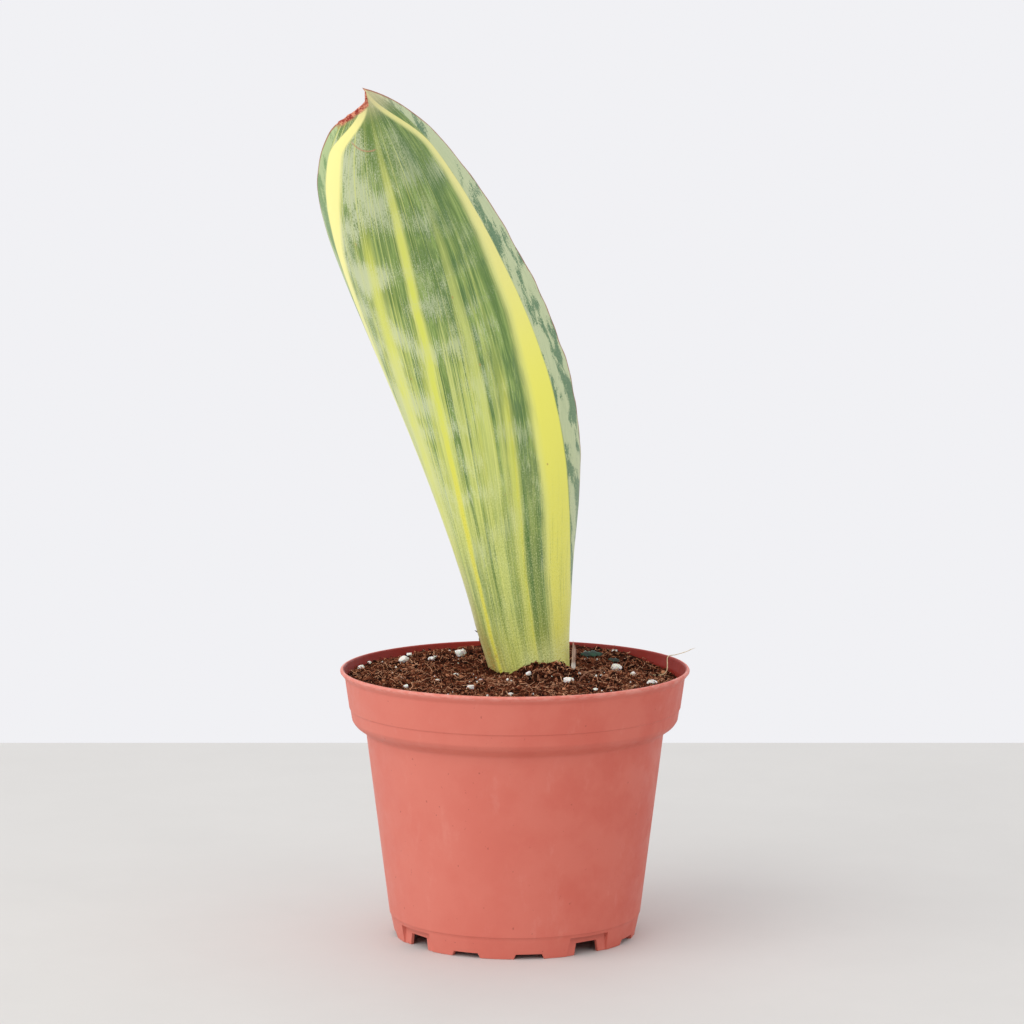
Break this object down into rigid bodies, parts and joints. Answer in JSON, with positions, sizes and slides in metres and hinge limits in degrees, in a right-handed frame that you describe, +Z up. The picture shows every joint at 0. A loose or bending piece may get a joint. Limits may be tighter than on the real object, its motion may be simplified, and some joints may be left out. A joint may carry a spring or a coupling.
{
  "type": "potted snake plant",
  "caption": "Broad upright snake plant leaf with yellow stripes, planted in coir and perlite in a round tapered plastic grower's pot with a notched foot.",
  "frame": {"origin": "centre of the pot's foot, on the surface that it stands on", "axes": "+Z up along the pot's axis; -Y is the side with the outside of the leaf, +X is to the right seen from there"},
  "size_m": [0.1292, 0.12, 0.29],
  "materials": {
    "pot_plastic": "satin, slightly dusty terracotta-coloured plastic",
    "coir_mix": "dry crumbly coir fibre",
    "leaf": "soft waxy sheen, grey-green with yellow stripes and a thin red-brown margin",
    "dry_sheath": "dry and papery",
    "rhizome": "matt, fleshy",
    "root": "matt",
    "pale_root": "matt, dry",
    "brown_root": "matt, dry",
    "dry_curl": "matt, dry",
    "leaf_scrap": "dull",
    "perlite": "chalky, porous"
  },
  "bodies": {
    "root": {"pot": "pot_plastic", "potting_mix": "coir_mix", "leaf": "leaf", "dry_sheath": "dry_sheath", "rhizome": "rhizome", "root_1": "root", "root_2": "root", "root_3": "root", "root_4": "root", "root_5": "root", "root_6": "root", "pale_root": "pale_root", "brown_root": "brown_root", "dry_curl": "dry_curl", "leaf_scrap_1": "leaf_scrap", "leaf_scrap_2": "leaf_scrap", "perlite_01": "perlite", "perlite_02": "perlite", "perlite_03": "perlite", "perlite_04": "perlite", "perlite_05": "perlite", "perlite_06": "perlite", "perlite_07": "perlite", "perlite_08": "perlite", "perlite_09": "perlite", "perlite_10": "perlite", "perlite_11": "perlite", "perlite_12": "perlite", "perlite_13": "perlite", "perlite_14": "perlite", "perlite_15": "perlite", "perlite_16": "perlite", "perlite_17": "perlite", "perlite_18": "perlite", "perlite_19": "perlite", "perlite_20": "perlite"}
  },
  "joints": []
}
